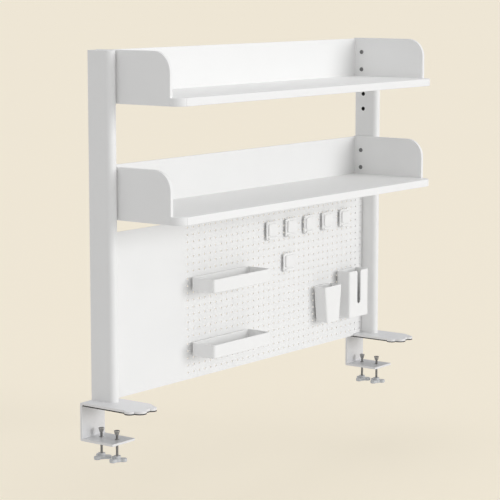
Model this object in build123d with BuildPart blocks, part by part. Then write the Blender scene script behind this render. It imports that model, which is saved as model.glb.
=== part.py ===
"""Clamp-on desk shelf: two posts on desk clamps carry two shelves and a perforated panel with hung trays.

Millimetres. +X runs along the shelf to the right, +Y towards the back, +Z up. The origin lies on the
desk's top plane, at the desk's rear edge, midway between the two clamps.
"""
from build123d import *
import os

os.makedirs("parts", exist_ok=True)

# Shelves
shelf_length = 1000.0
shelf_spacing = 251.0
board_thick = 18.0
board_overhang = 29.0
board_corner = 28.0
edge_round = 1.5
end_plate_thick = 9.0
end_plate_depth = 208.0
end_plate_height = 115.0
end_plate_above_post = 1.0
end_plate_front_corner = 44.0
end_plate_corner = 3.0
back_panel_thick = 5.0
back_panel_drop = 2.0
back_panel_round = 0.8

# Posts
post_width = 26.0
post_depth = 65.0
post_height = 763.0
post_wall = 2.0
post_rear_round = 3.0
cap_thick = 2.0
cap_round = 0.7
cap_plug = 15.0
foot_height = 25.0
plug_gap = 0.15

# Desk clamps
clamp_plate = 5.0
clamp_bend_inner = 2.5
clamp_bend_outer = 3.0
clamp_width = 84.0
clamp_left_margin = 36.0
pad_thick = 2.5
jaw_width = 75.0
jaw_height = 73.0
lower_plate_reach = 88.0
lower_plate_corner = 2.0
top_plate_left_reach = 123.0
top_plate_right_reach = 125.0
left_lobe_x = -7.0
left_lobe_reach = 139.0
first_dip_x = 6.0
first_dip_reach = 146.0
middle_lobe_x = 18.5
middle_lobe_reach = 163.0
second_dip_x = 34.0
second_dip_reach = 155.0
tip_start_x = 46.0
tip_start_reach = 155.5
tip_x = 57.0
tip_reach = 162.0
tip_end_x = 68.0
tip_end_reach = 152.0

# Clamp screws
screw_radius = 3.0
screw_fit = 0.1
screw_from_left = 40.3
screw_from_rear = 20.5
screw_spacing = 45.0
screw_below_plate = 30.5
nut_radius = 4.2
nut_flange_radius = 5.0
nut_flange = 1.0
nut_gap = 0.1
cup_rest_gap = 9.5
cup_height = 10.0
cup_rim = 1.5
cup_rim_width = 1.5
cup_dish = 1.0
cup_top_radius = 6.5
cup_bottom_radius = 3.8
cup_pin_radius = 2.0
cup_pin_height = 4.0
cup_pin_gap = 0.3
knob_height = 8.0
knob_round = 2.0
knob_core_radius = 11.0
knob_lobes = 3
knob_lobe_centre = 14.5
knob_lobe_radius = 7.5
knob_lobe_turn = 60.0
knob_valley_round = 4.0
knob_collar_radius = 8.5
knob_collar_height = 5.0
knob_collar_taper = 8.0
knob_bore_depth = 10.0

# Fasteners
bolt_radius = 3.0
bolt_hole_gap = 0.3
bolt_head_radius = 5.2
bolt_head_height = 1.6
bolt_head_round = 0.6
bolt_socket_radius = 2.2
bolt_socket_depth = 1.2
bolt_from_rear = 25.0
bolt_rise = 35.0
bolt_spacing = 44.0
bolt_reach = 12.0
spare_insert_drop = 28.0
spare_insert_spacing = 38.0
insert_flange_radius = 5.0
insert_flange = 0.8
insert_radius = 4.2
insert_length = 14.0
insert_gap = 0.1
base_screw_from_rear = 17.0
base_screw_spacing = 30.0
base_screw_head_radius = 6.0
base_screw_head_gap = 0.2
base_screw_head_slope = 45.0
base_screw_reach = 16.0
panel_screw_radius = 2.0
panel_screw_gap = 0.1
panel_screw_head_radius = 4.0
panel_screw_head_gap = 0.2
panel_screw_head = 2.0
panel_screw_length = 22.0
panel_screw_count = 5
panel_screw_margin = 61.0
cam_radius = 7.3
cam_height = 12.0
cam_gap = 0.2
cam_from_end = 24.0
cam_from_rear = 40.0
cam_spacing = 120.0
cam_cross_width = 1.6
cam_cross_length = 8.0
cam_cross_depth = 1.5
cam_pin_radius = 3.0
cam_pin_past_centre = 3.0
cam_pin_depth = 7.0

# Perforated panel and the angles behind its ends
peg_sheet = 1.5
peg_from_back_panel = 20.0
peg_side_gap = 1.0
peg_below_post = 4.0
peg_notch_gap = 1.0
peg_top_gap = 32.0
peg_corner = 3.0
peg_hole_radius = 2.5
peg_pitch_x = 20.8
peg_pitch_z = 16.9
peg_right_margin = 10.0
peg_bottom_margin = 15.8
peg_plain_width = 270.0
angle_sheet = 2.0
angle_depth = 16.0
angle_leg = 15.0
angle_end_margin = 15.0
angle_screw_radius = 2.4
angle_screw_head_radius = 4.2
angle_screw_head = 2.4
angle_screw_reach = 9.0
angle_screw_margin = 40.0
angle_screw_count = 3

# Things hung on the panel
hung_gap = 5.0
hung_wall = 2.5
hung_round = 0.6
hung_foot_round = 2.0
hung_peg_radius = 2.2
hung_peg_collar_radius = 4.0
hung_peg_behind_panel = 4.0
hook_size = 44.0
hook_plate = 3.0
hook_corner = 6.0
hook_raised_width = 34.0
hook_raised_thick = 4.0
hook_pad_drop = 5.0
hook_pad_corner = 5.0
hook_groove = 4.0
hook_ledge_rise = 1.0
hook_ledge_height = 5.0
hook_ledge_corner = 2.0
hook_peg_drop = 3.0
tray_width = 217.0
tray_depth = 67.0
tray_height = 31.0
tray_corner = 7.0
tray_peg_drop = 20.0
pen_cup_width_top = 74.0
pen_cup_width_bottom = 54.5
pen_cup_depth = 36.0
pen_cup_height = 91.0
pen_cup_corner = 5.0
pen_cup_peg_drop = 20.0
box_width = 86.0
box_depth = 40.0
box_height = 119.5
box_corner = 5.0
box_peg_drop = 13.0
box_peg_left = 4.0
box_slot_width = 14.5
box_slot_length = 85.0
box_slot_mouth = 30.0
box_slot_shoulder = 6.0
box_slot_shoulder_round = 5.7

# Places of the hung things. Columns of holes count from the left, or from the right if negative, and
# rows from the bottom, or from the top if negative. The hooks keep an even spacing of their own.
hook_count = 5
hook_spacing = 78.0
last_hook_margin = 89.3
low_hook_shift = 8.3
top_hook_rows = (-4, -3)
low_hook_rows = (-9, -8)
tray_columns = (2, 9)
lower_tray_row = 3
upper_tray_row = 12
pen_cup_columns = (-10, -9)
pen_cup_rows = (5, 7)
box_columns = (-5, -4)
box_rows = (5, 9)

# Places worked out from the sizes above
sides = {"left": -1, "right": 1}
half_length = shelf_length / 2
board_half = half_length - end_plate_thick
rear_y = clamp_plate
post_round_y = rear_y - post_depth + post_width / 2
end_plate_front_y = rear_y - end_plate_depth
back_panel_front_y = rear_y - back_panel_thick
bolt_y = rear_y - bolt_from_rear
post_base = pad_thick + clamp_plate
post_top = post_base + post_height
upper_base = post_top + end_plate_above_post - end_plate_height
shelves = {"upper": upper_base, "lower": upper_base - shelf_spacing}
bolt_heights = {name: (base + bolt_rise, base + bolt_rise + bolt_spacing) for name, base in shelves.items()}
spare_top_z = upper_base - spare_insert_drop
spare_heights = (spare_top_z - spare_insert_spacing, spare_top_z)
insert_places = [(bolt_y, z) for z in bolt_heights["upper"] + bolt_heights["lower"] + spare_heights]
clamp_left_x = {
    side: sign * half_length + min(sign, 0) * post_width - clamp_left_margin for side, sign in sides.items()
}
lower_plate_z = -jaw_height - clamp_plate
cup_base_z = -jaw_height + nut_flange + cup_rest_gap
knob_top_z = lower_plate_z - screw_below_plate
knob_base_z = knob_top_z - knob_collar_height - knob_height
peg_front_y = back_panel_front_y - peg_from_back_panel
peg_rear_y = peg_front_y + peg_sheet
peg_half = half_length - peg_side_gap
peg_base = post_base - peg_below_post
peg_height = shelves["lower"] - peg_top_gap - peg_base
peg_columns = int((2 * peg_half - peg_right_margin - peg_plain_width) // peg_pitch_x) + 1
peg_rows = int((peg_height - 2 * peg_bottom_margin) // peg_pitch_z) + 1
first_column_x = peg_half - peg_right_margin - peg_pitch_x * (peg_columns - 1)
first_row_z = peg_base + peg_bottom_margin
angle_height = peg_height - 2 * angle_end_margin
angle_screw_step = (angle_height - 2 * angle_screw_margin) / (angle_screw_count - 1)
angle_screw_first_z = peg_base + angle_end_margin + angle_screw_margin
angle_screw_y = peg_rear_y + angle_depth / 2
angle_screw_places = [
    (angle_screw_y, angle_screw_first_z + angle_screw_step * step) for step in range(angle_screw_count)
]
hung_rear_y = peg_front_y - hung_gap
peg_end_y = peg_rear_y + hung_peg_behind_panel


def column_x(column):
    """X of a column of holes in the perforated panel."""
    return first_column_x + peg_pitch_x * (column % peg_columns)


def nearest_column(x):
    """Column of holes nearest to a place along the perforated panel."""
    return round((x - first_column_x) / peg_pitch_x)


def row_z(row):
    """Height of a row of holes in the perforated panel."""
    return first_row_z + peg_pitch_z * (row % peg_rows)


def post_section(inset):
    """Section of a post about its own middle, flat at the rear and fully round at the front."""
    half = post_width / 2 - inset
    with BuildSketch() as section:
        with BuildLine():
            Polyline(
                (half, post_round_y), (half, rear_y - inset), (-half, rear_y - inset), (-half, post_round_y)
            )
            ThreePointArc((-half, post_round_y), (0, post_round_y - half), (half, post_round_y))
        make_face()
        fillet(section.vertices().group_by(Axis.Y)[-1], post_rear_round - inset / 2)
    return section.sketch


def clamp_top_outline():
    """Outline of a clamp's top plate from its left edge: two lobes, a step and a rounded tip along the front."""
    left_end = (0, -top_plate_left_reach)
    first_dip = (first_dip_x, -first_dip_reach)
    second_dip = (second_dip_x, -second_dip_reach)
    tip_start = (tip_start_x, -tip_start_reach)
    tip_end = (tip_end_x, -tip_end_reach)
    with BuildSketch() as outline:
        with BuildLine():
            Polyline(
                tip_end,
                (clamp_width, -top_plate_right_reach),
                (clamp_width, -clamp_bend_inner),
                (0, -clamp_bend_inner),
                left_end,
            )
            ThreePointArc(left_end, (left_lobe_x, -left_lobe_reach), first_dip)
            ThreePointArc(first_dip, (middle_lobe_x, -middle_lobe_reach), second_dip)
            Line(second_dip, tip_start)
            ThreePointArc(tip_start, (tip_x, -tip_reach), tip_end)
        make_face()
    return outline.sketch


def hung_pegs(places):
    """Pegs behind a hung thing: a collar as long as its gap to the panel, and a pin through the hole."""
    with BuildPart() as pegs:
        with BuildSketch(Plane.XZ.offset(-peg_front_y)):
            with Locations(*places):
                Circle(hung_peg_collar_radius)
        extrude(amount=hung_gap + hung_wall / 2)
        with BuildSketch(Plane.XZ.offset(-peg_end_y)):
            with Locations(*places):
                Circle(hung_peg_radius)
        extrude(amount=peg_end_y - peg_front_y)
    return pegs.part


def open_box(width, depth, height, corner, x, base):
    """Box with an open top and rounded corners, standing off the panel by the hung things' gap."""
    y = hung_rear_y - depth / 2
    with BuildPart() as box:
        with BuildSketch(Plane.XY.offset(base)):
            with Locations((x, y)):
                RectangleRounded(width, depth, corner)
        extrude(amount=height)
        fillet(box.faces().sort_by(Axis.Z)[0].edges(), hung_foot_round)
        with BuildSketch(Plane.XY.offset(base + hung_wall)):
            with Locations((x, y)):
                RectangleRounded(width - 2 * hung_wall, depth - 2 * hung_wall, corner - hung_wall)
        extrude(amount=height - hung_wall, mode=Mode.SUBTRACT)
        fillet(box.faces().sort_by(Axis.Z)[-1].edges(), hung_round)
    return box.part


# Posts, each a flat-backed tube with a cap, a foot block, its threaded inserts and its base screws
for side, sign in sides.items():
    inner_x = sign * half_length
    post_x = sign * (half_length + post_width / 2)

    with BuildPart() as post:
        with BuildSketch(Plane.XY.offset(post_base)):
            with Locations((post_x, 0)):
                add(post_section(0))
                add(post_section(post_wall), mode=Mode.SUBTRACT)
        extrude(amount=post_height - cap_thick)
        with Locations(*[Plane((inner_x, y, z), z_dir=(-sign, 0, 0)) for y, z in insert_places]):
            CounterBoreHole(
                radius=insert_radius + insert_gap,
                counter_bore_radius=insert_flange_radius + insert_gap,
                counter_bore_depth=insert_flange,
                depth=2 * post_wall,
            )
        with Locations(*[Plane((inner_x, y, z), z_dir=(-sign, 0, 0)) for y, z in angle_screw_places]):
            Hole(angle_screw_radius + panel_screw_gap, depth=2 * post_wall)
    post.part.label = f"{side}_post"
    export_step(post.part, f"parts/{side}_post.step")

    with BuildPart() as post_cap:
        with BuildSketch(Plane.XY.offset(post_top - cap_thick)):
            with Locations((post_x, 0)):
                add(post_section(0))
        extrude(amount=cap_thick)
        fillet(post_cap.faces().sort_by(Axis.Z)[-1].edges(), cap_round)
        with BuildSketch(Plane.XY.offset(post_top - cap_thick - cap_plug)):
            with Locations((post_x, 0)):
                add(post_section(post_wall + plug_gap))
        extrude(amount=cap_plug)
    post_cap.part.label = f"{side}_post_cap"
    export_step(post_cap.part, f"parts/{side}_post_cap.step")

    base_screw_places = [
        (post_x, rear_y - base_screw_from_rear),
        (post_x, rear_y - base_screw_from_rear - base_screw_spacing),
    ]
    with BuildPart() as post_foot:
        with BuildSketch(Plane.XY.offset(post_base)):
            with Locations((post_x, 0)):
                add(post_section(post_wall + plug_gap))
            with Locations(*base_screw_places):
                Circle(bolt_radius + screw_fit, mode=Mode.SUBTRACT)
        extrude(amount=foot_height)
    post_foot.part.label = f"{side}_post_foot"
    export_step(post_foot.part, f"parts/{side}_post_foot.step")

    with BuildPart() as base_screws:
        with BuildSketch(Plane.XY.offset(pad_thick)):
            with Locations(*base_screw_places):
                Circle(base_screw_head_radius)
        extrude(amount=base_screw_head_radius - bolt_radius, taper=base_screw_head_slope)
        with BuildSketch(Plane.XY.offset(pad_thick)):
            with Locations(*base_screw_places):
                Circle(bolt_radius)
        extrude(amount=clamp_plate + base_screw_reach)
    base_screws.part.label = f"{side}_base_screws"
    export_step(base_screws.part, f"parts/{side}_base_screws.step")

    with BuildPart() as post_inserts:
        with BuildSketch(Plane.YZ.offset(inner_x)):
            with Locations(*insert_places):
                Circle(insert_flange_radius)
        extrude(amount=sign * insert_flange)
        with BuildSketch(Plane.YZ.offset(inner_x)):
            with Locations(*insert_places):
                Circle(insert_radius)
        extrude(amount=sign * insert_length)
        with BuildSketch(Plane.YZ.offset(inner_x)):
            with Locations(*insert_places):
                Circle(bolt_radius + screw_fit)
        extrude(amount=sign * insert_length, mode=Mode.SUBTRACT)
    post_inserts.part.label = f"{side}_post_inserts"
    export_step(post_inserts.part, f"parts/{side}_post_inserts.step")

# Desk clamps, each a bent plate with a pad, two pressed nuts and two screws that carry a knob and a cup
for side, sign in sides.items():
    post_x = sign * (half_length + post_width / 2)
    clamp_x = clamp_left_x[side]
    screw_x = clamp_x + screw_from_left
    screw_ys = {"rear": -screw_from_rear, "front": -screw_from_rear - screw_spacing}
    screw_places = [(screw_x, y) for y in screw_ys.values()]

    with BuildPart() as clamp_bracket:
        with BuildSketch(Plane.YZ.offset(clamp_x)) as bend:
            with BuildLine():
                Polyline(
                    (-lower_plate_reach, lower_plate_z),
                    (rear_y, lower_plate_z),
                    (rear_y, post_base),
                    (-clamp_plate, post_base),
                    (-clamp_plate, pad_thick),
                    (0, pad_thick),
                    (0, -jaw_height),
                    (-lower_plate_reach, -jaw_height),
                    close=True,
                )
            make_face()
            fillet(bend.vertices().group_by(Axis.X)[-1], clamp_bend_outer)
            fillet(bend.vertices().filter_by_position(Axis.X, -0.1, 0.1), clamp_bend_inner)
        extrude(amount=jaw_width)
        lower_plate_edges = clamp_bracket.edges().filter_by(Axis.Z).filter_by_position(
            Axis.Z, lower_plate_z, -jaw_height
        )
        fillet(lower_plate_edges.group_by(Axis.Y)[0], lower_plate_corner)
        with BuildSketch(Plane.XY.offset(pad_thick)):
            with Locations((clamp_x, 0)):
                add(clamp_top_outline())
        extrude(amount=clamp_plate)
        with Locations(*[(x, y, -jaw_height) for x, y in screw_places]):
            Hole(nut_radius + nut_gap, depth=2 * clamp_plate)
        for step in (0, base_screw_spacing):
            y = rear_y - base_screw_from_rear - step
            with Locations(Plane((post_x, y, pad_thick), z_dir=(0, 0, -1))):
                CounterSinkHole(
                    radius=bolt_radius + bolt_hole_gap,
                    counter_sink_radius=base_screw_head_radius + base_screw_head_gap,
                    depth=2 * clamp_plate,
                    counter_sink_angle=2 * base_screw_head_slope,
                )
    clamp_bracket.part.label = f"{side}_clamp_bracket"
    export_step(clamp_bracket.part, f"parts/{side}_clamp_bracket.step")

    with BuildPart() as desk_pad:
        with BuildSketch():
            with Locations((clamp_x, 0)):
                add(clamp_top_outline())
        extrude(amount=pad_thick)
    desk_pad.part.label = f"{side}_desk_pad"
    export_step(desk_pad.part, f"parts/{side}_desk_pad.step")

    with BuildPart() as clamp_nuts:
        with BuildSketch(Plane.XY.offset(-jaw_height)):
            with Locations(*screw_places):
                Circle(nut_flange_radius)
        extrude(amount=nut_flange)
        with BuildSketch(Plane.XY.offset(-jaw_height)):
            with Locations(*screw_places):
                Circle(nut_radius)
        extrude(amount=-clamp_plate)
        with Locations(*[(x, y, nut_flange - jaw_height) for x, y in screw_places]):
            Hole(screw_radius + screw_fit, depth=2 * clamp_plate)
    clamp_nuts.part.label = f"{side}_clamp_nuts"
    export_step(clamp_nuts.part, f"parts/{side}_clamp_nuts.step")

    for place, screw_y in screw_ys.items():
        with BuildPart() as clamp_screw:
            with BuildSketch(Plane.XY.offset(knob_top_z - knob_bore_depth)):
                with Locations((screw_x, screw_y)):
                    Circle(screw_radius)
            extrude(amount=cup_base_z - knob_top_z + knob_bore_depth)
            with BuildSketch(Plane.XY.offset(cup_base_z)):
                with Locations((screw_x, screw_y)):
                    Circle(cup_pin_radius)
            extrude(amount=cup_pin_height)
        clamp_screw.part.label = f"{side}_{place}_clamp_screw"
        export_step(clamp_screw.part, f"parts/{side}_{place}_clamp_screw.step")

        with BuildPart() as clamp_knob:
            with BuildSketch(Plane.XY.offset(knob_base_z)) as lobes:
                with Locations((screw_x, screw_y)):
                    Circle(knob_core_radius)
                    with PolarLocations(knob_lobe_centre, knob_lobes, start_angle=knob_lobe_turn):
                        Circle(knob_lobe_radius)
                fillet(lobes.vertices(), knob_valley_round)
            extrude(amount=knob_height)
            fillet(
                clamp_knob.edges().group_by(Axis.Z)[0] + clamp_knob.edges().group_by(Axis.Z)[-1], knob_round
            )
            with BuildSketch(Plane.XY.offset(knob_base_z + knob_height)):
                with Locations((screw_x, screw_y)):
                    Circle(knob_collar_radius)
            extrude(amount=knob_collar_height, taper=knob_collar_taper)
            with Locations((screw_x, screw_y, knob_top_z)):
                Hole(screw_radius + screw_fit, depth=knob_bore_depth)
        clamp_knob.part.label = f"{side}_{place}_clamp_knob"
        export_step(clamp_knob.part, f"parts/{side}_{place}_clamp_knob.step")

        with BuildPart() as pressure_cup:
            with BuildSketch(Plane((screw_x, screw_y, cup_base_z), x_dir=(1, 0, 0), z_dir=(0, -1, 0))):
                with BuildLine():
                    Polyline(
                        (0, cup_pin_height + cup_pin_gap),
                        (cup_pin_radius + cup_pin_gap, cup_pin_height + cup_pin_gap),
                        (cup_pin_radius + cup_pin_gap, 0),
                        (cup_bottom_radius, 0),
                        (cup_top_radius, cup_height - cup_rim),
                        (cup_top_radius, cup_height),
                        (cup_top_radius - cup_rim_width, cup_height),
                        (cup_top_radius - cup_rim_width - cup_dish, cup_height - cup_dish),
                        (0, cup_height - cup_dish),
                        close=True,
                    )
                make_face()
            revolve(axis=Axis((screw_x, screw_y, cup_base_z), (0, 0, 1)))
        pressure_cup.part.label = f"{side}_{place}_pressure_cup"
        export_step(pressure_cup.part, f"parts/{side}_{place}_pressure_cup.step")

# Shelves, each a board between two end plates, with a back panel and its fasteners
for shelf, base in shelves.items():
    pin_z = base + board_thick / 2
    cam_ys = [-cam_from_rear, -cam_from_rear - cam_spacing]
    cam_places = [(sign * (board_half - cam_from_end), y) for sign in sides.values() for y in cam_ys]
    pin_places = [(y, pin_z) for y in cam_ys]
    panel_screw_step = 2 * (board_half - panel_screw_margin) / (panel_screw_count - 1)
    panel_screw_places = [
        (panel_screw_margin - board_half + panel_screw_step * step, pin_z) for step in range(panel_screw_count)
    ]

    with BuildPart() as shelf_board:
        with BuildSketch(Plane.XY.offset(base)) as outline:
            with BuildLine():
                Polyline(
                    (-half_length, end_plate_front_y - board_overhang),
                    (half_length, end_plate_front_y - board_overhang),
                    (half_length, end_plate_front_y),
                    (board_half, end_plate_front_y),
                    (board_half, back_panel_front_y),
                    (-board_half, back_panel_front_y),
                    (-board_half, end_plate_front_y),
                    (-half_length, end_plate_front_y),
                    close=True,
                )
            make_face()
            fillet(outline.vertices().group_by(Axis.Y)[0], board_corner)
        extrude(amount=board_thick)
        fillet(shelf_board.edges().filter_by(Axis.X).group_by(Axis.Y)[0], edge_round)
        with Locations(*[Plane((x, y, base), z_dir=(0, 0, -1)) for x, y in cam_places]):
            Hole(cam_radius + cam_gap, depth=cam_height)
        for sign in sides.values():
            with BuildSketch(Plane.YZ.offset(sign * board_half)):
                with Locations(*pin_places):
                    Circle(cam_pin_radius + cam_gap)
            extrude(amount=-sign * cam_from_end, mode=Mode.SUBTRACT)
        with BuildSketch(Plane.XZ.offset(-back_panel_front_y)):
            with Locations(*panel_screw_places):
                Circle(panel_screw_radius + panel_screw_gap)
        extrude(amount=panel_screw_length - back_panel_thick, mode=Mode.SUBTRACT)
    shelf_board.part.label = f"{shelf}_shelf_board"
    export_step(shelf_board.part, f"parts/{shelf}_shelf_board.step")

    with BuildPart() as back_panel:
        with BuildSketch(Plane.XZ.offset(-rear_y)):
            with Locations((0, base)):
                Rectangle(2 * board_half, end_plate_height - back_panel_drop, align=(Align.CENTER, Align.MIN))
        extrude(amount=back_panel_thick)
        fillet(back_panel.edges().filter_by(Axis.X).group_by(Axis.Z)[-1], back_panel_round)
        with Locations(*[Plane((x, rear_y, z), z_dir=(0, 1, 0)) for x, z in panel_screw_places]):
            CounterBoreHole(
                radius=panel_screw_radius + panel_screw_gap,
                counter_bore_radius=panel_screw_head_radius + panel_screw_head_gap,
                counter_bore_depth=panel_screw_head,
                depth=2 * back_panel_thick,
            )
    back_panel.part.label = f"{shelf}_back_panel"
    export_step(back_panel.part, f"parts/{shelf}_back_panel.step")

    with BuildPart() as panel_screws:
        with BuildSketch(Plane.XZ.offset(-rear_y)):
            with Locations(*panel_screw_places):
                Circle(panel_screw_head_radius)
        extrude(amount=panel_screw_head)
        with BuildSketch(Plane.XZ.offset(-rear_y)):
            with Locations(*panel_screw_places):
                Circle(panel_screw_radius)
        extrude(amount=panel_screw_length)
    panel_screws.part.label = f"{shelf}_panel_screws"
    export_step(panel_screws.part, f"parts/{shelf}_panel_screws.step")

    with BuildPart() as cam_locks:
        with BuildSketch(Plane.XY.offset(base)):
            with Locations(*cam_places):
                Circle(cam_radius)
        extrude(amount=cam_height)
        for sign in sides.values():
            with BuildSketch(Plane.YZ.offset(sign * board_half)):
                with Locations(*pin_places):
                    Circle(cam_pin_radius + cam_gap)
            extrude(amount=-sign * (cam_from_end + cam_pin_past_centre), mode=Mode.SUBTRACT)
        with BuildSketch(Plane.XY.offset(base)):
            with Locations(*cam_places):
                Rectangle(cam_cross_length, cam_cross_width)
                Rectangle(cam_cross_width, cam_cross_length)
        extrude(amount=cam_cross_depth, mode=Mode.SUBTRACT)
    cam_locks.part.label = f"{shelf}_cam_locks"
    export_step(cam_locks.part, f"parts/{shelf}_cam_locks.step")

    with BuildPart() as cam_pins:
        for sign in sides.values():
            with BuildSketch(Plane.YZ.offset(sign * (board_half + cam_pin_depth))):
                with Locations(*pin_places):
                    Circle(cam_pin_radius)
            extrude(amount=-sign * (cam_pin_depth + cam_from_end + cam_pin_past_centre))
    cam_pins.part.label = f"{shelf}_cam_pins"
    export_step(cam_pins.part, f"parts/{shelf}_cam_pins.step")

    for side, sign in sides.items():
        bolt_places = [(bolt_y, z) for z in bolt_heights[shelf]]

        with BuildPart() as end_plate:
            with BuildSketch(Plane.YZ.offset(sign * board_half)) as outline:
                with Locations((end_plate_front_y, base)):
                    Rectangle(end_plate_depth, end_plate_height, align=(Align.MIN, Align.MIN))
                front_top = outline.vertices().group_by(Axis.X)[0].sort_by(Axis.Y)[-1]
                fillet(front_top, end_plate_front_corner)
                fillet(outline.vertices().group_by(Axis.X)[-1], end_plate_corner)
            extrude(amount=sign * end_plate_thick)
            fillet(
                end_plate.edges().group_by(Axis.X)[0] + end_plate.edges().group_by(Axis.X)[-1], edge_round
            )
            with BuildSketch(Plane.YZ.offset(sign * board_half)):
                with Locations(*bolt_places):
                    Circle(bolt_radius + bolt_hole_gap)
            extrude(amount=sign * end_plate_thick, mode=Mode.SUBTRACT)
            with BuildSketch(Plane.YZ.offset(sign * board_half)):
                with Locations(*pin_places):
                    Circle(cam_pin_radius + screw_fit)
            extrude(amount=sign * cam_pin_depth, mode=Mode.SUBTRACT)
        end_plate.part.label = f"{shelf}_{side}_end_plate"
        export_step(end_plate.part, f"parts/{shelf}_{side}_end_plate.step")

        with BuildPart() as plate_bolts:
            with BuildSketch(Plane.YZ.offset(sign * board_half)):
                with Locations(*bolt_places):
                    Circle(bolt_head_radius)
            extrude(amount=-sign * bolt_head_height)
            fillet(plate_bolts.edges().group_by(Axis.X)[0 if sign > 0 else -1], bolt_head_round)
            with BuildSketch(Plane.YZ.offset(sign * (board_half - bolt_head_height))):
                with Locations(*bolt_places):
                    RegularPolygon(bolt_socket_radius, 6)
            extrude(amount=sign * bolt_socket_depth, mode=Mode.SUBTRACT)
            with BuildSketch(Plane.YZ.offset(sign * board_half)):
                with Locations(*bolt_places):
                    Circle(bolt_radius)
            extrude(amount=sign * (end_plate_thick + bolt_reach))
        plate_bolts.part.label = f"{shelf}_{side}_plate_bolts"
        export_step(plate_bolts.part, f"parts/{shelf}_{side}_plate_bolts.step")

# Perforated panel, plain at its left end and notched round the clamps' top plates, with an angle behind
# each end that screws to the post
with BuildPart() as peg_panel:
    with BuildSketch(Plane.XZ.offset(-peg_rear_y)):
        with Locations((0, peg_base + peg_height / 2)):
            RectangleRounded(2 * peg_half, peg_height, peg_corner)
        grid_x = first_column_x + peg_pitch_x * (peg_columns - 1) / 2
        grid_z = first_row_z + peg_pitch_z * (peg_rows - 1) / 2
        with Locations((grid_x, grid_z)):
            with GridLocations(peg_pitch_x, peg_pitch_z, peg_columns, peg_rows):
                Circle(peg_hole_radius, mode=Mode.SUBTRACT)
        for left_x in clamp_left_x.values():
            with Locations((left_x - peg_notch_gap, peg_base)):
                Rectangle(
                    clamp_width + 2 * peg_notch_gap,
                    post_base + peg_notch_gap - peg_base,
                    align=(Align.MIN, Align.MIN),
                    mode=Mode.SUBTRACT,
                )
    extrude(amount=peg_sheet)
peg_panel.part.label = "peg_panel"
export_step(peg_panel.part, "parts/peg_panel.step")

for side, sign in sides.items():
    outer_x = sign * half_length
    with BuildPart() as panel_angle:
        with BuildSketch(Plane.XY.offset(peg_base + angle_end_margin)):
            with BuildLine():
                Polyline(
                    (outer_x, peg_rear_y),
                    (outer_x, peg_rear_y + angle_depth),
                    (outer_x - sign * angle_sheet, peg_rear_y + angle_depth),
                    (outer_x - sign * angle_sheet, peg_rear_y + angle_sheet),
                    (outer_x - sign * angle_leg, peg_rear_y + angle_sheet),
                    (outer_x - sign * angle_leg, peg_rear_y),
                    close=True,
                )
            make_face()
        extrude(amount=angle_height)
        with Locations(*[Plane((outer_x, y, z), z_dir=(sign, 0, 0)) for y, z in angle_screw_places]):
            Hole(angle_screw_radius + panel_screw_gap, depth=2 * angle_sheet)
    panel_angle.part.label = f"{side}_panel_angle"
    export_step(panel_angle.part, f"parts/{side}_panel_angle.step")

with BuildPart() as panel_angle_screws:
    for sign in sides.values():
        head_x = sign * (half_length - angle_sheet)
        with BuildSketch(Plane.YZ.offset(head_x)):
            with Locations(*angle_screw_places):
                Circle(angle_screw_head_radius)
        extrude(amount=-sign * angle_screw_head)
        with BuildSketch(Plane.YZ.offset(head_x)):
            with Locations(*angle_screw_places):
                Circle(angle_screw_radius)
        extrude(amount=sign * angle_screw_reach)
panel_angle_screws.part.label = "panel_angle_screws"
export_step(panel_angle_screws.part, "parts/panel_angle_screws.step")

# Hooks: a square back plate with a raised pad, and a groove between the pad and the ledge at its foot
last_hook_x = peg_half - last_hook_margin
hook_places = [(last_hook_x - hook_spacing * step, top_hook_rows) for step in reversed(range(hook_count))]
hook_places.append((hook_places[1][0] - low_hook_shift, low_hook_rows))
for number, (hook_x, rows) in enumerate(hook_places, start=1):
    hook_z = (row_z(rows[0]) + row_z(rows[1])) / 2 + hook_peg_drop
    ledge_z = hook_z - hook_size / 2 + hook_ledge_rise
    pad_z = ledge_z + hook_ledge_height + hook_groove
    pad_height = hook_z + hook_size / 2 - hook_pad_drop - pad_z
    pegs = hung_pegs([(column_x(nearest_column(hook_x)), row_z(row)) for row in rows])
    with BuildPart() as hook:
        with BuildSketch(Plane.XZ.offset(-hung_rear_y)):
            with Locations((hook_x, hook_z)):
                RectangleRounded(hook_size, hook_size, hook_corner)
        extrude(amount=hook_plate)
        with BuildSketch(Plane.XZ.offset(-hung_rear_y)):
            with Locations((hook_x, pad_z + pad_height / 2)):
                RectangleRounded(hook_raised_width, pad_height, hook_pad_corner)
            with Locations((hook_x, ledge_z + hook_ledge_height / 2)):
                RectangleRounded(hook_raised_width, hook_ledge_height, hook_ledge_corner)
        extrude(amount=hook_plate + hook_raised_thick)
        fillet(hook.faces().group_by(Axis.Y)[0].edges(), hung_round)
        add(pegs)
    hook.part.label = f"hook_{number}"
    export_step(hook.part, f"parts/hook_{number}.step")

# Trays
tray_x = (column_x(tray_columns[0]) + column_x(tray_columns[1])) / 2
for tray_name, row in {"upper_tray": upper_tray_row, "lower_tray": lower_tray_row}.items():
    tray_base = row_z(row) + tray_peg_drop - tray_height
    tray_shell = open_box(tray_width, tray_depth, tray_height, tray_corner, tray_x, tray_base)
    pegs = hung_pegs([(column_x(column), row_z(row)) for column in tray_columns])
    with BuildPart() as tray:
        add(tray_shell)
        add(pegs)
    tray.part.label = tray_name
    export_step(tray.part, f"parts/{tray_name}.step")

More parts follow.
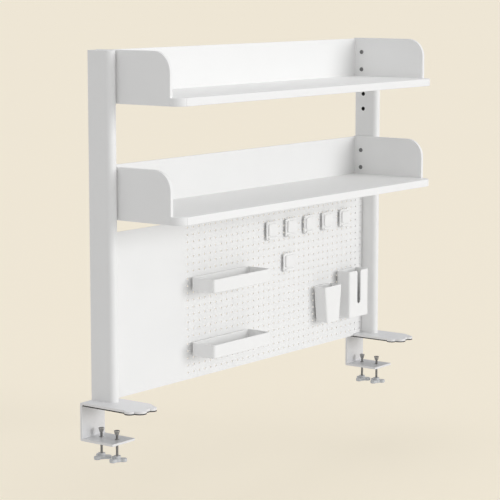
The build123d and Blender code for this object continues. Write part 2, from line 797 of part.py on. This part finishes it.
# Pen cup, narrower at its foot
cup_x = (column_x(pen_cup_columns[0]) + column_x(pen_cup_columns[1])) / 2
cup_y = hung_rear_y - pen_cup_depth / 2
cup_top_z = row_z(pen_cup_rows[1]) + pen_cup_peg_drop
cup_foot_z = cup_top_z - pen_cup_height
inner_depth = pen_cup_depth - 2 * hung_wall
pegs = hung_pegs([(column_x(column), row_z(row)) for column in pen_cup_columns for row in pen_cup_rows])
with BuildPart() as pen_cup:
    for z, width in ((cup_foot_z, pen_cup_width_bottom), (cup_top_z, pen_cup_width_top)):
        with BuildSketch(Plane.XY.offset(z)):
            with Locations((cup_x, cup_y)):
                RectangleRounded(width, pen_cup_depth, pen_cup_corner)
    loft(ruled=True)
    for z, width in ((cup_foot_z + hung_wall, pen_cup_width_bottom), (cup_top_z, pen_cup_width_top)):
        with BuildSketch(Plane.XY.offset(z)):
            with Locations((cup_x, cup_y)):
                RectangleRounded(width - 2 * hung_wall, inner_depth, pen_cup_corner - hung_wall)
    loft(ruled=True, mode=Mode.SUBTRACT)
    fillet(pen_cup.faces().sort_by(Axis.Z)[-1].edges(), hung_round)
    add(pegs)
pen_cup.part.label = "pen_cup"
export_step(pen_cup.part, "parts/pen_cup.step")

# Slotted box, with a finger slot down its front that widens at the rim
box_x = (column_x(box_columns[0]) + column_x(box_columns[1])) / 2 + box_peg_left
box_top_z = row_z(box_rows[1]) + box_peg_drop
slot_foot_z = box_top_z - box_slot_length + box_slot_width / 2
box_shell = open_box(box_width, box_depth, box_height, box_corner, box_x, box_top_z - box_height)
pegs = hung_pegs([(column_x(column), row_z(row)) for column in box_columns for row in box_rows])
with BuildPart() as slotted_box:
    add(box_shell)
    with BuildSketch(Plane.XZ.offset(box_depth - hung_rear_y)) as slot:
        with Locations((box_x, slot_foot_z)):
            Rectangle(box_slot_width, box_top_z - slot_foot_z, align=(Align.CENTER, Align.MIN))
            Circle(box_slot_width / 2)
        with Locations((box_x, box_top_z)):
            Rectangle(box_slot_mouth, box_slot_shoulder, align=(Align.CENTER, Align.MIN))
        rim_corners = slot.vertices().filter_by_position(Axis.Y, box_top_z - 0.1, box_top_z + 0.1)
        fillet(rim_corners.sort_by(lambda corner: abs(corner.X - box_x))[:2], box_slot_shoulder_round)
    extrude(amount=-hung_wall, mode=Mode.SUBTRACT)
    add(pegs)
slotted_box.part.label = "slotted_box"
export_step(slotted_box.part, "parts/slotted_box.step")
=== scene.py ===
"""Looks of the clamp-on desk shelf: its finishes, screw threads and fastener heads. Metres, Z up."""
from math import pi, radians

import bpy
from mathutils import Matrix, Vector


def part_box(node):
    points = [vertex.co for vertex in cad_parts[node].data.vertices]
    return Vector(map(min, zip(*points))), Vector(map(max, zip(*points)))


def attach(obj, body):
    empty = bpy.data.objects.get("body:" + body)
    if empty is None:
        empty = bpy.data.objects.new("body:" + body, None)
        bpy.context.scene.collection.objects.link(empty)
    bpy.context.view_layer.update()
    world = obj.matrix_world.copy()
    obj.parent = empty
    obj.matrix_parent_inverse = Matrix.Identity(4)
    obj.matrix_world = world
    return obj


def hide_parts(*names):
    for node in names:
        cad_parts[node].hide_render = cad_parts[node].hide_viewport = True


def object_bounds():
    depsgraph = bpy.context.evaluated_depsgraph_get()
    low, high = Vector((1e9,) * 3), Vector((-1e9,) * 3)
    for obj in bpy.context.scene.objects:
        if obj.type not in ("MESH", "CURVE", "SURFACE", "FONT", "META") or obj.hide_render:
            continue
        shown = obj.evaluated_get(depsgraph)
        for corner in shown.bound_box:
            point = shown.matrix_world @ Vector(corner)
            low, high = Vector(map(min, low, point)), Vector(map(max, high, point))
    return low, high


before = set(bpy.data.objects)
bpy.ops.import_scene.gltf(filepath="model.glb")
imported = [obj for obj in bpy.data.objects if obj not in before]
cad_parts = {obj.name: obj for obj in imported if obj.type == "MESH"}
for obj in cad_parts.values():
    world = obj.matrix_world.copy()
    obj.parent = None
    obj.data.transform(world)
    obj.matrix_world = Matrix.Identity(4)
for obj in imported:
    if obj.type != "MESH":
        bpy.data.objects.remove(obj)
cad_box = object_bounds()
board_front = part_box("upper_shelf_board")[0].y

# Details finer than the frame's solids
band_thick = 0.001
band_seam = 0.00024
groove_width = 0.002
thread_pitch = 0.001
thread_root_radius = 0.0024
cup_pin_radius = 0.002
cup_pin_height = 0.004
weld_gap = 0.00001  # points nearer than this become one
crease = radians(35)  # edges sharper than this aren't smoothed


class Wire:
    """A socket of a node tree. Arithmetic on wires adds Math nodes, and node() adds any other node."""

    def __init__(self, tree, socket=None):
        self.tree = tree
        self.socket = socket

    def node(self, kind, settings=None, ends=None):
        """Adds a node, sets it up and fills its inputs with values or wires. Gives its first output."""
        made = self.tree.nodes.new(kind)
        for name, value in (settings or {}).items():
            setattr(made, name, value)
        for name, value in (ends or {}).items():
            end = made.inputs[name] if isinstance(name, int) else named(made.inputs, name)
            for item in value if isinstance(value, list) else [value]:
                if isinstance(item, Wire):
                    self.tree.links.new(item.socket, end)
                else:
                    end.default_value = item
        return Wire(self.tree, made.outputs[0] if made.outputs else None)

    def out(self, name):
        """Another output of the node that this wire comes from."""
        return Wire(self.tree, named(self.socket.node.outputs, name))

    def maths(self, operation, *ends):
        """A Math node on these ends."""
        return self.node("ShaderNodeMath", {"operation": operation}, dict(enumerate(ends)))

    def __add__(self, other):
        return self.maths("ADD", self, other)

    def __radd__(self, other):
        return self.maths("ADD", other, self)

    def __sub__(self, other):
        return self.maths("SUBTRACT", self, other)

    def __rsub__(self, other):
        return self.maths("SUBTRACT", other, self)

    def __mul__(self, other):
        return self.maths("MULTIPLY", self, other)

    def __rmul__(self, other):
        return self.maths("MULTIPLY", other, self)

    def __truediv__(self, other):
        return self.maths("DIVIDE", self, other)

    def __lt__(self, other):
        return self.maths("LESS_THAN", self, other)

    def __gt__(self, other):
        return self.maths("GREATER_THAN", self, other)

    def __abs__(self):
        return self.maths("ABSOLUTE", self)


def named(sockets, name):
    """The socket with this identifier, or else with this name."""
    for socket in sockets:
        if socket.identifier == name:
            return socket
    return sockets[name]


# Finishes. Each takes its pattern from the piece's own coordinates, which are the frame's.


def grain(place, size, detail=2.0):
    """Even random grain whose lumps are about this wide."""
    return place.node("ShaderNodeTexNoise", {}, {"Vector": place, "Scale": 1 / size, "Detail": detail})


def stretched(place, stretch):
    """The same coordinates drawn out, so that a grain on them turns into streaks."""
    return place.node("ShaderNodeMapping", {}, {"Vector": place, "Scale": stretch})


def shade(mask, first, second):
    """Colour that goes from the first to the second with the mask.

    Each of the two is a red, green and blue, or a wire.
    """
    ends = [(*tone, 1) if isinstance(tone, tuple) else tone for tone in (first, second)]
    mixed = mask.node(
        "ShaderNodeMix",
        {"data_type": "RGBA"},
        {"Factor_Float": mask, "A_Color": ends[0], "B_Color": ends[1]},
    )
    return mixed.out("Result_Color")


def relief(height, depth):
    """Normal of a surface that rises by depth where height is 1."""
    return height.node("ShaderNodeBump", {}, {"Height": height, "Distance": depth})


def finish(name, look, fixed=None):
    """Material with one shader: look(place) gives the sockets that vary, and fixed holds the others."""
    material = bpy.data.materials.new(name)
    material.use_nodes = True
    material.node_tree.nodes.clear()
    place = Wire(material.node_tree).node("ShaderNodeTexCoord").out("Object")
    shader = place.node("ShaderNodeBsdfPrincipled", {}, {**(fixed or {}), **look(place)})
    place.node("ShaderNodeOutputMaterial", {}, {"Surface": shader})
    return material


def powder_coat(place):
    """Baked powder with the faint ripple of orange peel."""
    peel = grain(place, 0.0016)
    return {
        "Base Color": shade(grain(place, 0.09), (0.885, 0.885, 0.88), (0.915, 0.915, 0.91)),
        "Roughness": 0.40 + 0.12 * peel,
        "Normal": relief(peel, 0.00006),
    }


def board_laminate(place):
    """Matt melamine with a fine pore, and the hairline of the band glued along the front edge."""
    pore = grain(place, 0.0005, 4.0)
    across = place.node("ShaderNodeSeparateXYZ", {}, {"Vector": place}).out("Y")
    seam = abs(across - (board_front + band_thick)) < band_seam / 2
    tone = shade(grain(place, 0.12), (0.905, 0.905, 0.90), (0.935, 0.935, 0.93))
    return {
        "Base Color": shade(seam * 0.45, tone, (0.45, 0.44, 0.42)),
        "Roughness": 0.46 + 0.14 * pore,
        "Normal": relief(pore, 0.00003),
    }


def silver_coat(place):
    """Silver-white powder with fine flakes."""
    flakes = grain(place, 0.0007, 3.0)
    return {
        "Base Color": shade(flakes, (0.80, 0.80, 0.81), (0.90, 0.90, 0.91)),
        "Roughness": 0.34 + 0.12 * grain(place, 0.0025),
        "Normal": relief(flakes, 0.00005),
    }


def ribbed_rubber(place):
    """Black rubber with narrow grooves from front to back."""
    along = place.node("ShaderNodeSeparateXYZ", {}, {"Vector": place})
    groove = along.maths("PINGPONG", along, groove_width) / groove_width
    skin = grain(place, 0.0006, 3.0)
    return {
        "Base Color": shade(skin, (0.012, 0.012, 0.012), (0.026, 0.026, 0.026)),
        "Roughness": 0.70 + 0.14 * skin,
        "Normal": relief(groove + 0.3 * skin, 0.0003),
    }


def turned_steel(place):
    """Zinc plate, dulled, with faint rings from turning."""
    rings = grain(stretched(place, (1.0, 1.0, 12.0)), 0.0016, 3.0)
    return {
        "Base Color": shade(grain(place, 0.004), (0.38, 0.375, 0.37), (0.50, 0.495, 0.49)),
        "Roughness": 0.30 + 0.22 * rings,
        "Normal": relief(rings, 0.00002),
    }


def black_oxide(low, high):
    """Blackened steel, slightly worn, from one tone to another."""

    def look(place):
        worn = grain(place, 0.0015, 3.0)
        return {
            "Base Color": shade(worn, low, high),
            "Roughness": 0.36 + 0.20 * worn,
            "Normal": relief(worn, 0.00003),
        }

    return look


def moulded(low, high, roughness):
    """Moulded plastic with a faint spark-eroded texture, from one tone to another."""

    def look(place):
        texture = grain(place, 0.0004)
        return {
            "Base Color": shade(grain(place, 0.03), low, high),
            "Roughness": roughness + 0.10 * texture,
            "Normal": relief(texture, 0.00002),
        }

    return look


def floor_paint(place):
    """Beige paint as it is seen and mirrored, which throws only neutral light back on the object."""
    path = place.node("ShaderNodeLightPath")
    seen = path + path.out("Is Glossy Ray") + path.out("Is Transmission Ray")
    beige = shade(grain(place, 3.0), (0.985, 0.915, 0.77), (0.995, 0.925, 0.78))
    return {
        "Base Color": shade(seen, (0.84, 0.84, 0.84), beige),
        "Emission Color": shade(seen, (0, 0, 0), (1.0, 0.87, 0.67)),
    }


grey_moulded = moulded((0.60, 0.61, 0.62), (0.63, 0.64, 0.65), 0.42)
white_moulded = moulded((0.91, 0.91, 0.905), (0.93, 0.93, 0.925), 0.34)
blackened = black_oxide((0.018, 0.018, 0.019), (0.05, 0.05, 0.052))
greyed = black_oxide((0.20, 0.20, 0.20), (0.26, 0.26, 0.26))
finishes = {
    "powder_coat": finish("powder_coat", powder_coat),
    "laminate": finish("laminate", board_laminate),
    "clamp_coat": finish("clamp_coat", silver_coat, {"Metallic": 0.15}),
    "pad_rubber": finish("pad_rubber", ribbed_rubber),
    "screw_steel": finish("screw_steel", turned_steel, {"Metallic": 0.9}),
    "dark_steel": finish("dark_steel", blackened, {"Metallic": 0.6}),
    "bolt_steel": finish("bolt_steel", greyed, {"Metallic": 0.6}),
    "knob_plastic": finish("knob_plastic", grey_moulded),
    "white_plastic": finish("white_plastic", white_moulded),
}
# A node has the first of these finishes that has a word of its name
finish_words = {
    "laminate": ("shelf_board", "back_panel", "end_plate"),
    "clamp_coat": ("clamp_bracket",),
    "pad_rubber": ("desk_pad",),
    "screw_steel": ("clamp_screw", "pressure_cup", "clamp_nuts", "_screws", "cam_"),
    "dark_steel": ("post_inserts",),
    "bolt_steel": ("plate_bolts",),
    "knob_plastic": ("clamp_knob",),
    "white_plastic": ("post_cap", "post_foot", "hook_", "tray", "pen_cup", "slotted_box"),
    "powder_coat": ("post", "peg_panel", "panel_angle"),
}
for name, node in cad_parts.items():
    chosen = next(key for key, words in finish_words.items() if any(word in name for word in words))
    for index in range(len(node.data.materials)):
        node.data.materials[index] = finishes[chosen]


# Pieces grown by node trees


def node_tree(name, sizes, grow):
    """Tree whose inputs are named by sizes. Its geometry is what grow(sizes) makes, with a finish."""
    tree = bpy.data.node_groups.new(name, "GeometryNodeTree")
    tree.interface.new_socket("Geometry", in_out="OUTPUT", socket_type="NodeSocketGeometry")
    for label, kind in {**sizes, "Finish": "Material"}.items():
        tree.interface.new_socket(label, in_out="INPUT", socket_type=f"NodeSocket{kind}")
    start = Wire(tree).node("NodeGroupInput")
    shape = start.node(
        "GeometryNodeRealizeInstances",
        {},
        {0: grow({label: start.out(label) for label in sizes})},
    )
    shape = start.node(
        "GeometryNodeSetMaterial",
        {},
        {"Geometry": shape, "Material": start.out("Finish")},
    )
    start.node("NodeGroupOutput", {}, {"Geometry": shape})
    return tree


def grown(name, tree, sizes, slot, place, body):
    """Plain mesh that the tree grows at these sizes, put in its place on its body."""
    piece = bpy.data.objects.new(name, bpy.data.meshes.new(name))
    bpy.context.scene.collection.objects.link(piece)
    modifier = piece.modifiers.new(name, "NODES")
    modifier.node_group = tree
    values = {**sizes, "Finish": finishes[slot]}
    for item in tree.interface.items_tree:
        if item.in_out == "INPUT":
            modifier[item.identifier] = values[item.name]
    evaluated = piece.evaluated_get(bpy.context.evaluated_depsgraph_get())
    mesh = bpy.data.meshes.new_from_object(evaluated)
    piece.modifiers.remove(modifier)
    piece.data = mesh
    mesh.transform(place)
    mesh.shade_smooth()
    mesh.set_sharp_from_angle(angle=crease)
    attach(piece, body)
    return piece


def threaded_rod(size):
    """Rod with a V thread of one start, a smooth pin on its top end and both ends closed.

    A grid has two rows for each turn of the thread, and a row and a half more to close each end.
    It is wound up by giving each point an angle, a level and a radius.
    """
    height = size["Turns"] * size["Pitch"]
    rows = 2 * size["Turns"] + 3
    grid = rows.node(
        "GeometryNodeMeshGrid",
        {},
        {"Size X": rows - 1, "Size Y": 1.0, "Vertices X": rows, "Vertices Y": size["Sides"] + 1},
    )
    spot = rows.node("ShaderNodeSeparateXYZ", {}, {"Vector": rows.node("GeometryNodeInputPosition")})
    flank = spot.out("X") + (rows - 1) / 2
    turn = spot.out("Y") + 0.5
    raised = (flank / 2 + turn - 1) * size["Pitch"]
    wave = flank.maths("PINGPONG", flank, 1.0)
    inside = (raised > weld_gap) * (raised < height - weld_gap)
    radius = inside * (size["Root radius"] + wave * (size["Crest radius"] - size["Root radius"]))
    level = raised.maths("MINIMUM", raised.maths("MAXIMUM", raised, 0.0), height)
    angle = turn * (2 * pi)
    wound = grid.node(
        "GeometryNodeSetPosition",
        {},
        {
            "Geometry": grid,
            "Position": angle.node(
                "ShaderNodeCombineXYZ",
                {},
                {
                    "X": radius * angle.maths("COSINE", angle),
                    "Y": radius * angle.maths("SINE", angle),
                    "Z": level,
                },
            ),
        },
    )
    closed = wound.node("GeometryNodeMergeByDistance", {}, {"Geometry": wound, "Distance": weld_gap})
    pin = cylinder(size["Pin radius"], size["Pin height"] + size["Pitch"], size["Pin sides"])
    return joined(closed, moved(pin, height + (size["Pin height"] - size["Pitch"]) / 2))


def cylinder(radius, depth, sides):
    """Closed cylinder about the origin, along Z."""
    return radius.node(
        "GeometryNodeMeshCylinder",
        {},
        {"Radius": radius, "Depth": depth, "Vertices": sides},
    )


def moved(shape, height):
    """The shape raised by this height."""
    offset = height.node("ShaderNodeCombineXYZ", {}, {"Z": height})
    return shape.node("GeometryNodeTransform", {}, {"Geometry": shape, "Translation": offset})


def joined(*shapes):
    """The shapes as one."""
    return shapes[0].node("GeometryNodeJoinGeometry", {}, {0: list(shapes)})


def spaced(count, spacing, shape, turn):
    """Copies of the shape along X, evenly spaced about the middle, each with a turn of its own."""
    start = count.node("ShaderNodeCombineXYZ", {}, {"X": (1 - count) * spacing / 2})
    step = count.node("ShaderNodeCombineXYZ", {}, {"X": spacing})
    row = count.node(
        "GeometryNodeMeshLine",
        {},
        {"Count": count, "Start Location": start, "Offset": step},
    )
    ends = {"Points": row, "Instance": shape, "Rotation": turn}
    return row.node("GeometryNodeInstanceOnPoints", {}, ends)


def screw_row(size):
    """Row of screws with heads outwards, each with a cross recess turned its own way."""
    depth = size["Head height"]
    head = depth.node(
        "GeometryNodeMeshCone",
        {},
        {
            "Vertices": size["Head sides"],
            "Radius Top": size["Head radius"] - size["Head bevel"],
            "Radius Bottom": size["Head radius"],
            "Depth": depth,
        },
    )
    arms = [
        depth.node(
            "GeometryNodeMeshCube",
            {},
            {
                "Size": depth.node(
                    "ShaderNodeCombineXYZ",
                    {},
                    {"X": long, "Y": wide, "Z": 2 * size["Recess depth"]},
                )
            },
        )
        for long, wide in (
            (size["Recess length"], size["Recess width"]),
            (size["Recess width"], size["Recess length"]),
        )
    ]
    cut = head.node(
        "GeometryNodeMeshBoolean",
        {"operation": "DIFFERENCE"},
        {"Mesh 1": moved(head, 0 - depth), "Mesh 2": arms},
    )
    shank = cylinder(size["Shank radius"], size["Shank length"], size["Shank sides"])
    screw = joined(cut, moved(shank, 0 - depth / 2 - size["Shank length"] / 2))
    turn = depth.node(
        "FunctionNodeRandomValue",
        {"data_type": "FLOAT_VECTOR"},
        {"Min": (0, 0, 0), "Max": (0, 0, pi / 2), "Seed": 7},
    )
    return spaced(size["Count"], size["Spacing"], screw, turn)


rod_tree = node_tree(
    "threaded_rod",
    {
        "Turns": "Int",
        "Sides": "Int",
        "Pin sides": "Int",
        "Pitch": "Float",
        "Root radius": "Float",
        "Crest radius": "Float",
        "Pin radius": "Float",
        "Pin height": "Float",
    },
    threaded_rod,
)
screw_tree = node_tree(
    "screw_row",
    {
        "Count": "Int",
        "Head sides": "Int",
        "Shank sides": "Int",
        "Spacing": "Float",
        "Head radius": "Float",
        "Head height": "Float",
        "Head bevel": "Float",
        "Shank radius": "Float",
        "Shank length": "Float",
        "Recess length": "Float",
        "Recess width": "Float",
        "Recess depth": "Float",
    },
    screw_row,
)

# Clamps: threaded rods in place of the plain ones
for side in ("left", "right"):
    for place in ("rear", "front"):
        node = f"{side}_{place}_clamp_screw"
        low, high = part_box(node)
        centre = (low + high) / 2
        rod = grown(
            f"{side}_{place}_threaded_rod",
            rod_tree,
            {
                "Turns": round((high.z - low.z - cup_pin_height) / thread_pitch),
                "Sides": 20,
                "Pin sides": 24,
                "Pitch": thread_pitch,
                "Root radius": thread_root_radius,
                "Crest radius": (high.x - low.x) / 2,
                "Pin radius": cup_pin_radius,
                "Pin height": cup_pin_height,
            },
            "screw_steel",
            Matrix.Translation((centre.x, centre.y, low.z)),
            f"{side}_{place}_screw",
        )
        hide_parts(node)

# Screws of the back panels, seen from behind
screw_count = 5
screw_head_radius = 0.004
for shelf in ("upper", "lower"):
    node = f"{shelf}_panel_screws"
    low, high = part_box(node)
    screws = grown(
        f"{shelf}_cross_head_screws",
        screw_tree,
        {
            "Count": screw_count,
            "Head sides": 32,
            "Shank sides": 20,
            "Spacing": (high.x - low.x - 2 * screw_head_radius) / (screw_count - 1),
            "Head radius": screw_head_radius,
            "Head height": 0.002,
            "Head bevel": 0.0002,
            "Shank radius": 0.002,
            "Shank length": 0.0205,
            "Recess length": 0.0044,
            "Recess width": 0.0009,
            "Recess depth": 0.0012,
        },
        "screw_steel",
        Matrix.Translation((0, high.y, (low.z + high.z) / 2)) @ Matrix.Rotation(-pi / 2, 4, "X"),
        "frame",
    )
    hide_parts(node)

# Floor. The shelf hangs on a desk, so there is a gap below its knobs, which go down 8 mm.
floor_gap = 0.15
floor_z = cad_box[0][2] - floor_gap
reach = 900.0  # each way from the middle, past all that the camera sees
floor_mesh = bpy.data.meshes.new("floor")
floor_mesh.from_pydata(
    [
        (-reach, -reach, floor_z),
        (reach, -reach, floor_z),
        (reach, reach, floor_z),
        (-reach, reach, floor_z),
    ],
    [],
    [(0, 1, 2, 3)],
)
floor_gloss = {"Roughness": 0.9, "Specular IOR Level": 0.1, "Emission Strength": 0.1}
floor = bpy.data.objects.new("floor", floor_mesh)
floor.data.materials.append(finish("floor_paint", floor_paint, floor_gloss))
bpy.context.scene.collection.objects.link(floor)

# Soft light from the sky, brighter towards the top, and from one large lamp at the front
world = bpy.data.worlds.new("studio")
world.use_nodes = True
background = world.node_tree.nodes["Background"]
background.inputs["Color"].default_value = (1, 1, 1, 1)
way = Wire(world.node_tree).node("ShaderNodeTexCoord")
rise = way.node("ShaderNodeSeparateXYZ", {}, {"Vector": way}).out("Z")
side_glow, top_glow = 0.36, 0.88
glow = side_glow + (top_glow - side_glow) * rise.maths("MAXIMUM", rise, 0.0)
world.node_tree.links.new(glow.socket, background.inputs["Strength"])
bpy.context.scene.world = world

lamp = bpy.data.lights.new("softbox", "SUN")
lamp.energy = 1.48
lamp.angle = radians(30)
towards_light = Vector((0.30, -0.94, 0.13))
softbox = bpy.data.objects.new("softbox", lamp)
softbox.rotation_euler = towards_light.to_track_quat("Z", "Y").to_euler()
bpy.context.scene.collection.objects.link(softbox)

# The photo's camera
view = bpy.data.cameras.new("view")
view.sensor_width = 36
view.lens = 136.4
view.clip_end = 5000
camera = bpy.data.objects.new("view", view)
camera.location = (-3.557, -2.726, 0.9225)
camera.rotation_euler = (radians(81.83), 0, radians(-52.88))
bpy.context.scene.collection.objects.link(camera)
bpy.context.scene.camera = camera
bpy.context.scene.view_settings.view_transform = "Standard"
